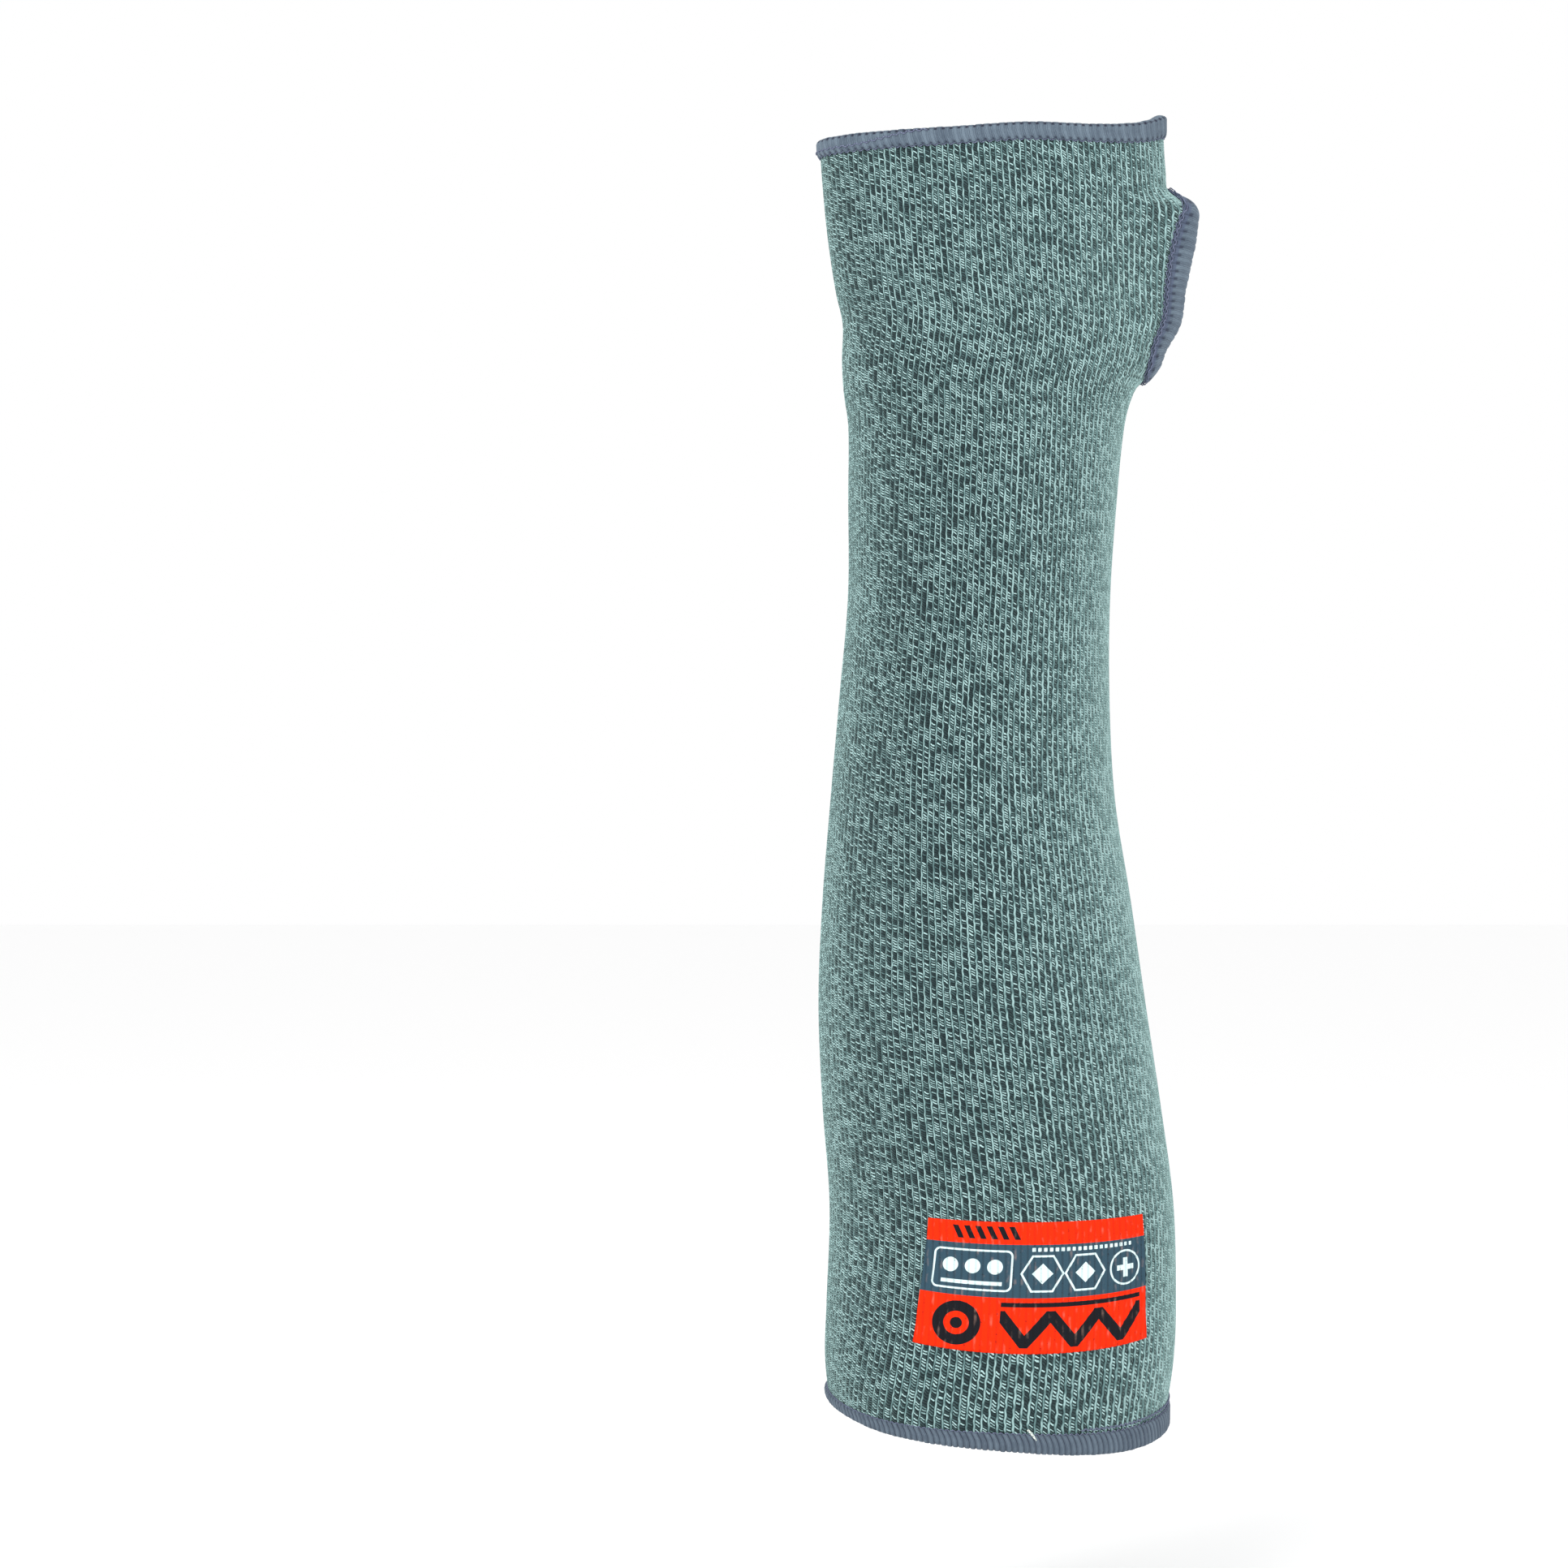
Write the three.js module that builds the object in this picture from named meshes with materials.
// A cut resistant sleeve for the right arm, in the form that it has when worn: a seamless knitted tube that narrows at
// the wrist and flattens over the hand, with a thumb opening, a serged binding round each edge, and a printed patch.
// Millimetres. +Z runs from the arm opening to the hand opening, +X points to the thumb, and the print faces -Y.
// The origin is the centre of the arm opening.
import * as THREE from 'three';

// The tube
const sleeveLength = 341; // centre of the arm opening to the mean edge at the hand
const armWidth = 94.5;
const armDepth = 73;
const wristWidth = 70.4;
const wristDepth = 65;
const handWidth = 92.4;
const handDepth = 42;
const knitThickness = 1.6;

// The two cut edges, as heights above or below a flat edge
const armEdgeDip = 6.45; // the wall at the print hangs lower than the wall behind it
const armEdgeLean = 3.6; // the thumb side hangs lower than the other side
const armEdgeWave = 0.4;
const handEdgeLean = 1.3; // the thumb side stands higher
const handEdgePeak = 4.2; // the corner drawn up at the thumb side
const handEdgePeakTurn = 27; // degrees over which that corner falls away
const handEdgeSwell = 0.7; // a low rise near the middle of the print side
const handEdgeSwellMiddle = -80; // degrees round from the thumb side
const handEdgeSwellTurn = 16; // degrees over which it falls away
const edgeReach = 30; // length of tube over which an edge's waves fade out

// The thumb opening
const thumbLength = 49.2;
const thumbToHandEdge = 17.5; // from the top of the opening to the mean edge at the hand
const thumbTurn = 18; // half of the opening's width, in degrees round the hand
const thumbCornerPower = 2.6; // 2 is an ellipse, and more is squarer
const flareReach = 7.9; // how far the knit stands out round the thumb
const flareFrontTurn = 50; // degrees over which the flare fades towards the print side
const flareBackTurn = 44; // degrees over which it fades towards the palm

// The bindings
const handHemWidth = 5.2;
const armHemWidth = 4.2;
const thumbHemWidth = 5.2;
const bindingThickness = 0.8;
const clearance = 0.3; // between two pieces that touch
const thumbClearance = 0.6; // wider, because the knit curves sharply there

// The printed patch
const patchWidth = 60; // along the curve of the arm, at its upper edge
const patchSpread = 2.8; // how much further each side reaches at its lower edge
const patchSlant = 1.4; // how far its lower edge is pulled away from the thumb side
const patchHeight = 34.5;
const patchToArmEdge = 18.6; // from the flat level of the arm opening to the middle of the patch's lower edge
const patchTurn = -78.5; // degrees round the arm, from the thumb side to the patch's middle
const patchSmile = 2.2; // how much higher its sides are than its middle
const patchThickness = 0.4;

// How finely the surfaces are divided
const columnCount = 40;
const columnGather = 0.35; // how much closer the columns lie at the two narrow sides
const armRowCount = 18;
const armRowPower = 1.35; // above 1 the rows lie closer together at the arm opening
const thumbRowCount = 22;
const thumbEndRowCount = 4; // rows across the binding beyond each end of the thumb opening
const handRowCount = 2;
const patchColumnCount = 14;
const patchRowCount = 6;

const halfKnit = knitThickness / 2;
const thumbTop = sleeveLength - thumbToHandEdge;
const thumbBottom = thumbTop - thumbLength;
const flareMiddleTurn = 4;
const probe = 0.4; // step of the finite differences

// The tube's outer width and depth at shares of its length, and how far its centre lies towards the thumb.
const sections = [
  { at: 0.0, width: 0.955 * armWidth, depth: 0.955 * armDepth, shift: 0.007 * armWidth },
  { at: 0.04, width: 0.99 * armWidth, depth: 0.97 * armDepth, shift: 0.01 * armWidth },
  { at: 0.08, width: 0.992 * armWidth, depth: 0.98 * armDepth, shift: 0.015 * armWidth },
  { at: 0.16, width: 0.976 * armWidth, depth: 0.99 * armDepth, shift: 0.016 * armWidth },
  { at: 0.24, width: 0.959 * armWidth, depth: 1.0 * armDepth, shift: -0.013 * armWidth },
  { at: 0.32, width: 0.927 * armWidth, depth: 1.0 * armDepth, shift: -0.04 * armWidth },
  { at: 0.4, width: 0.874 * armWidth, depth: 0.985 * armDepth, shift: -0.055 * armWidth },
  { at: 0.48, width: 0.806 * armWidth, depth: 0.955 * armDepth, shift: -0.066 * armWidth },
  { at: 0.56, width: 1.028 * wristWidth, depth: 1.03 * wristDepth, shift: -0.082 * wristWidth },
  { at: 0.64, width: 0.998 * wristWidth, depth: 1.0 * wristDepth, shift: -0.064 * wristWidth },
  { at: 0.72, width: 1.024 * wristWidth, depth: 0.98 * wristDepth, shift: -0.05 * wristWidth },
  { at: 0.775, width: 1.052 * wristWidth, depth: 0.93 * wristDepth, shift: -0.036 * wristWidth },
  { at: 0.8, width: 0.838 * handWidth, depth: 1.36 * handDepth, shift: -0.022 * handWidth },
  { at: 0.825, width: 0.885 * handWidth, depth: 1.28 * handDepth, shift: -0.004 * handWidth },
  { at: 0.855, width: 0.909 * handWidth, depth: 1.19 * handDepth, shift: 0.01 * handWidth },
  { at: 0.88, width: 0.939 * handWidth, depth: 1.12 * handDepth, shift: 0.005 * handWidth },
  { at: 0.92, width: 0.974 * handWidth, depth: 1.05 * handDepth, shift: 0.0 * handWidth },
  { at: 0.96, width: 0.998 * handWidth, depth: 1.01 * handDepth, shift: -0.003 * handWidth },
  { at: 1.0, width: 1.0 * handWidth, depth: 1.0 * handDepth, shift: -0.013 * handWidth },
];

// The thumb opening from its lower end to its upper end: how far the knit flares, as a share of flareReach, and
// where the middle of the opening lies round the hand, as a share of thumbTurn.
const thumbRows = [
  { at: -0.108, flare: 0.0, middle: 0.5 },
  { at: 0.0, flare: 0.06, middle: 0.5 },
  { at: 0.065, flare: 0.22, middle: 0.55 },
  { at: 0.13, flare: 0.36, middle: 0.62 },
  { at: 0.217, flare: 0.43, middle: 0.72 },
  { at: 0.272, flare: 0.54, middle: 0.78 },
  { at: 0.326, flare: 0.7, middle: 0.82 },
  { at: 0.413, flare: 0.77, middle: 0.86 },
  { at: 0.544, flare: 0.79, middle: 0.88 },
  { at: 0.652, flare: 0.87, middle: 0.88 },
  { at: 0.79, flare: 0.97, middle: 0.9 },
  { at: 0.87, flare: 1.0, middle: 0.93 },
  { at: 0.93, flare: 0.94, middle: 0.97 },
  { at: 0.97, flare: 0.8, middle: 1.02 },
  { at: 1.0, flare: 0.62, middle: 1.06 },
  { at: 1.06, flare: 0.3, middle: 1.1 },
  { at: 1.14, flare: 0.0, middle: 1.1 },
];

function radians(degrees) {
  return THREE.MathUtils.degToRad(degrees);
}

// A smooth curve through one column of a table, by its rows' at.
function along(rows, column, at) {
  const last = rows.length - 1;
  const place = THREE.MathUtils.clamp(at, rows[0].at, rows[last].at);
  let i = 0;
  while (i < last - 1 && place > rows[i + 1].at) i += 1;
  const slopeAt = (k) => {
    const before = rows[Math.max(k - 1, 0)];
    const after = rows[Math.min(k + 1, last)];
    return (after[column] - before[column]) / (after.at - before.at);
  };
  const span = rows[i + 1].at - rows[i].at;
  const u = (place - rows[i].at) / span;
  const start = rows[i][column] * (1 + 2 * u) * (1 - u) ** 2 + slopeAt(i) * span * u * (1 - u) ** 2;
  const end = rows[i + 1][column] * (3 - 2 * u) * u ** 2 - slopeAt(i + 1) * span * (1 - u) * u ** 2;
  return start + end;
}

// 1 where distance is 0, falling smoothly to 0 at reach.
function fade(distance, reach) {
  return THREE.MathUtils.smoothstep(reach - Math.abs(distance), 0, reach);
}

function armEdge(turn) {
  return armEdgeDip * Math.sin(turn) - armEdgeLean * Math.cos(turn) + armEdgeWave * Math.cos(4 * turn);
}

function handEdge(turn) {
  const fromThumb = Math.atan2(Math.sin(turn), Math.cos(turn));
  const peak = handEdgePeak * Math.exp(-((fromThumb / radians(handEdgePeakTurn)) ** 2));
  const fromSwell = (fromThumb - radians(handEdgeSwellMiddle)) / radians(handEdgeSwellTurn);
  const swell = handEdgeSwell * Math.exp(-(fromSwell ** 2));
  return handEdgeLean * Math.cos(turn) + peak + swell;
}

// The height of a row of the tube, whose share runs from 0 at the arm's edge to 1 at the hand's edge.
function heightAt(turn, share) {
  const level = share * sleeveLength;
  const low = armEdge(turn) * fade(level, edgeReach);
  const high = handEdge(turn) * fade(sleeveLength - level, edgeReach);
  return level + low + high;
}

// How far the knit stands out round the thumb.
function flareAt(turn, height) {
  const share = (height - thumbBottom) / thumbLength;
  const off = THREE.MathUtils.radToDeg(Math.atan2(Math.sin(turn), Math.cos(turn))) - flareMiddleTurn;
  const spread = off < 0 ? fade(off, flareFrontTurn) : fade(off, flareBackTurn);
  return flareReach * Math.max(0, along(thumbRows, 'flare', share)) * spread;
}

// A point of the middle of the knit's thickness.
function middlePoint(turn, height) {
  const share = height / sleeveLength;
  const acrossRadius = along(sections, 'width', share) / 2 - halfKnit;
  const deepRadius = along(sections, 'depth', share) / 2 - halfKnit;
  const shift = along(sections, 'shift', share);
  const x = shift + acrossRadius * Math.cos(turn) + flareAt(turn, height);
  return new THREE.Vector3(x, deepRadius * Math.sin(turn), height);
}

// The surface's two directions for a unit of turn and a unit of height, and its outward normal.
function frameAt(turn, height) {
  const turnProbe = probe / handDepth;
  const round = middlePoint(turn + turnProbe, height);
  round.sub(middlePoint(turn - turnProbe, height)).divideScalar(2 * turnProbe);
  const up = middlePoint(turn, height + probe);
  up.sub(middlePoint(turn, height - probe)).divideScalar(2 * probe);
  const normal = new THREE.Vector3().crossVectors(round, up).normalize();
  return { round, up, normal };
}

// A point that lies outward from the middle of the knit.
function surfacePoint(turn, height, outward) {
  return middlePoint(turn, height).addScaledVector(frameAt(turn, height).normal, outward);
}

// The two lips of the thumb opening at a share of its length.
function lipsAt(share) {
  const middle = radians(thumbTurn) * along(thumbRows, 'middle', share);
  const fromCentre = Math.min(1, Math.abs(2 * share - 1));
  const half = radians(thumbTurn) * (1 - fromCentre ** thumbCornerPower) ** (1 / thumbCornerPower);
  return { near: middle - half, far: middle + half };
}

// Shares of the thumb opening's length, closer together at its two round ends.
function thumbShare(step) {
  return (1 - Math.cos((Math.PI * step) / thumbRowCount)) / 2;
}

// The rows of the tube from the arm to the hand, each with the turns of the two lips that it runs between.
function tubeRows() {
  const rows = [];
  const margin = thumbHemWidth + bindingThickness;
  const addRow = (level, lips, open) => rows.push({ share: level / sleeveLength, open, ...lips });
  for (let i = 0; i < armRowCount; i += 1) {
    addRow((thumbBottom - margin) * (i / armRowCount) ** armRowPower, lipsAt(0), false);
  }
  for (let i = 0; i < thumbEndRowCount; i += 1) {
    addRow(thumbBottom - margin * (1 - i / thumbEndRowCount), lipsAt(0), false);
  }
  for (let i = 0; i <= thumbRowCount; i += 1) {
    const open = i > 0 && i < thumbRowCount;
    addRow(thumbBottom + thumbLength * thumbShare(i), lipsAt(thumbShare(i)), open);
  }
  for (let i = 1; i <= thumbEndRowCount; i += 1) {
    addRow(thumbTop + (margin * i) / thumbEndRowCount, lipsAt(1), false);
  }
  for (let i = 1; i <= handRowCount; i += 1) {
    addRow(thumbTop + margin + ((thumbToHandEdge - margin) * i) / handRowCount, lipsAt(1), false);
  }
  return rows;
}

// The turn of a column of the tube, from the near lip round the print side to the far lip.
function columnTurn({ near, far }, column) {
  const share = column / columnCount;
  const gathered = share - (columnGather * Math.sin(4 * Math.PI * share)) / (4 * Math.PI);
  return near - gathered * (2 * Math.PI - (far - near));
}

// A closed mesh from points and four-cornered faces.
function solidFrom(points, faces) {
  const geometry = new THREE.BufferGeometry().setFromPoints(points);
  geometry.setIndex(faces.flatMap(([a, b, c, d]) => [a, b, c, a, c, d]));
  geometry.computeVertexNormals();
  return geometry;
}

// The knitted tube: a sheet rolled from the near lip of the thumb opening round to the far lip.
function knitTube() {
  const rows = tubeRows();
  const points = [];
  const indices = new Map();
  const corner = (row, column, side) => {
    const closed = column === columnCount && !rows[row].open;
    const key = `${row} ${closed ? 0 : column} ${side}`;
    if (!indices.has(key)) {
      const turn = columnTurn(rows[row], column);
      indices.set(key, points.length);
      points.push(surfacePoint(turn, heightAt(turn, rows[row].share), side * halfKnit));
    }
    return indices.get(key);
  };
  const faces = [];
  const addFace = (corners) => faces.push(corners.map(([row, column, side]) => corner(row, column, side)));
  const top = rows.length - 1;
  for (let row = 0; row < top; row += 1) {
    for (let column = 0; column < columnCount; column += 1) {
      const ring = [[row, column], [row + 1, column], [row + 1, column + 1], [row, column + 1]];
      addFace(ring.map((c) => [...c, 1]));
      addFace(ring.reverse().map((c) => [...c, -1]));
    }
    if (rows[row].open || rows[row + 1].open) {
      addFace([[row, 0, 1], [row, 0, -1], [row + 1, 0, -1], [row + 1, 0, 1]]);
      const last = columnCount;
      addFace([[row, last, 1], [row + 1, last, 1], [row + 1, last, -1], [row, last, -1]]);
    }
  }
  for (let column = 0; column < columnCount; column += 1) {
    const next = column + 1;
    addFace([[0, column, -1], [0, column, 1], [0, next, 1], [0, next, -1]]);
    addFace([[top, column, 1], [top, column, -1], [top, next, -1], [top, next, 1]]);
  }
  return solidFrom(points, faces);
}

// The binding's section: depth is measured from the cut edge into the knit, and out from the middle of the knit.
function bindingProfile(width, gap) {
  const inside = halfKnit + gap;
  const outside = inside + bindingThickness;
  const fold = gap + bindingThickness;
  const taperStart = 0.8 * width;
  const foldFlat = 0.5 * outside;
  const halfway = 0.4 * width; // keeps the long faces close to the curve of the knit
  return [
    { depth: width, out: inside },
    { depth: taperStart, out: outside },
    { depth: 0, out: outside },
    { depth: -fold, out: foldFlat },
    { depth: -fold, out: -foldFlat },
    { depth: 0, out: -outside },
    { depth: taperStart, out: -outside },
    { depth: width, out: -inside },
    { depth: halfway, out: -inside },
    { depth: -gap, out: -inside },
    { depth: -gap, out: inside },
    { depth: halfway, out: inside },
  ];
}

// A binding swept round a closed edge. Each station places a point of the profile.
function binding(stations, width, gap) {
  const profile = bindingProfile(width, gap);
  const points = stations.flatMap((place) => profile.map(({ depth, out }) => place(depth, out)));
  const size = profile.length;
  const faces = [];
  stations.forEach((_, station) => {
    const here = station * size;
    const next = ((station + 1) % stations.length) * size;
    for (let i = 0; i < size; i += 1) {
      const j = (i + 1) % size;
      faces.push([here + i, here + j, next + j, next + i]);
    }
  });
  return solidFrom(points, faces);
}

function handHem() {
  const stations = [];
  for (let i = 0; i < columnCount; i += 1) {
    const turn = columnTurn(lipsAt(1), i);
    stations.push((depth, out) => surfacePoint(turn, heightAt(turn, 1) - depth, out));
  }
  return binding(stations, handHemWidth, clearance);
}

function armHem() {
  const stations = [];
  for (let i = columnCount; i > 0; i -= 1) {
    const turn = columnTurn(lipsAt(0), i);
    stations.push((depth, out) => surfacePoint(turn, heightAt(turn, 0) + depth, out));
  }
  return binding(stations, armHemWidth, clearance);
}

// The thumb opening's edge as one loop: up the near lip and down the far lip.
function thumbLoop() {
  const loop = [];
  const addPoint = (step, side) => {
    const share = thumbShare(step);
    const turn = lipsAt(share)[side];
    const level = (thumbBottom + thumbLength * share) / sleeveLength;
    loop.push({ turn, height: heightAt(turn, level) });
  };
  for (let i = 0; i < thumbRowCount; i += 1) addPoint(i, 'near');
  for (let i = thumbRowCount; i > 0; i -= 1) addPoint(i, 'far');
  return loop;
}

function thumbHem() {
  const loop = thumbLoop();
  const stations = loop.map(({ turn, height }, i) => {
    const before = loop[(i + loop.length - 1) % loop.length];
    const after = loop[(i + 1) % loop.length];
    const { round, up, normal } = frameAt(turn, height);
    const run = middlePoint(after.turn, after.height).sub(middlePoint(before.turn, before.height));
    const intoKnit = new THREE.Vector3().crossVectors(normal, run).normalize();
    // How much turn and height a millimetre into the knit takes
    const a = round.lengthSq();
    const b = round.dot(up);
    const c = up.lengthSq();
    const p = intoKnit.dot(round);
    const q = intoKnit.dot(up);
    const turnRate = (p * c - q * b) / (a * c - b * b);
    const heightRate = (q * a - p * b) / (a * c - b * b);
    return (depth, out) => surfacePoint(turn + turnRate * depth, height + heightRate * depth, out);
  });
  return binding(stations, thumbHemWidth, thumbClearance);
}

// The turn that lies a given length round the arm from the middle of the patch.
function patchTurnAt(length, height) {
  const stepCount = 12;
  let turn = radians(patchTurn);
  for (let i = 0; i < stepCount; i += 1) {
    turn += length / stepCount / frameAt(turn, height).round.length();
  }
  return turn;
}

// The printed film lies on the knit and curves with it.
function printPatch() {
  const inside = halfKnit + clearance;
  const outside = inside + patchThickness;
  const points = [];
  const corner = (row, column, side) => 2 * (row * (patchColumnCount + 1) + column) + side;
  for (let row = 0; row <= patchRowCount; row += 1) {
    for (let column = 0; column <= patchColumnCount; column += 1) {
      const across = (2 * column) / patchColumnCount - 1;
      const level = patchToArmEdge + (patchHeight * row) / patchRowCount;
      const lower = 1 - row / patchRowCount;
      const fromMiddle = across * (patchWidth / 2 + patchSpread * lower) - patchSlant * lower;
      const turn = patchTurnAt(fromMiddle, level);
      const height = level + patchSmile * across ** 2;
      points.push(surfacePoint(turn, height, outside), surfacePoint(turn, height, inside));
    }
  }
  const faces = [];
  const addFace = (corners) => faces.push(corners.map(([row, column, side]) => corner(row, column, side)));
  for (let row = 0; row < patchRowCount; row += 1) {
    for (let column = 0; column < patchColumnCount; column += 1) {
      const ring = [[row, column], [row, column + 1], [row + 1, column + 1], [row + 1, column]];
      addFace(ring.map((c) => [...c, 0]));
      addFace(ring.reverse().map((c) => [...c, 1]));
    }
    const end = patchColumnCount;
    addFace([[row, 0, 0], [row + 1, 0, 0], [row + 1, 0, 1], [row, 0, 1]]);
    addFace([[row, end, 0], [row, end, 1], [row + 1, end, 1], [row + 1, end, 0]]);
  }
  for (let column = 0; column < patchColumnCount; column += 1) {
    const next = column + 1;
    const top = patchRowCount;
    addFace([[0, column, 0], [0, column, 1], [0, next, 1], [0, next, 0]]);
    addFace([[top, column, 0], [top, next, 0], [top, next, 1], [top, column, 1]]);
  }
  return solidFrom(points, faces);
}

const knitMaterial = new THREE.MeshStandardMaterial({ color: 0x6f8f8d, roughness: 0.92, metalness: 0 });
const bindingMaterial = new THREE.MeshStandardMaterial({ color: 0x768297, roughness: 0.85, metalness: 0 });
const printMaterial = new THREE.MeshStandardMaterial({ color: 0xf0360f, roughness: 0.55, metalness: 0 });

const group = new THREE.Group();

function addPiece(name, geometry, material) {
  const mesh = new THREE.Mesh(geometry, material);
  mesh.name = name;
  group.add(mesh);
}

addPiece('knit_tube', knitTube(), knitMaterial);
addPiece('hand_hem', handHem(), bindingMaterial);
addPiece('arm_hem', armHem(), bindingMaterial);
addPiece('thumb_hem', thumbHem(), bindingMaterial);
addPiece('print_patch', printPatch(), printMaterial);

export default group;
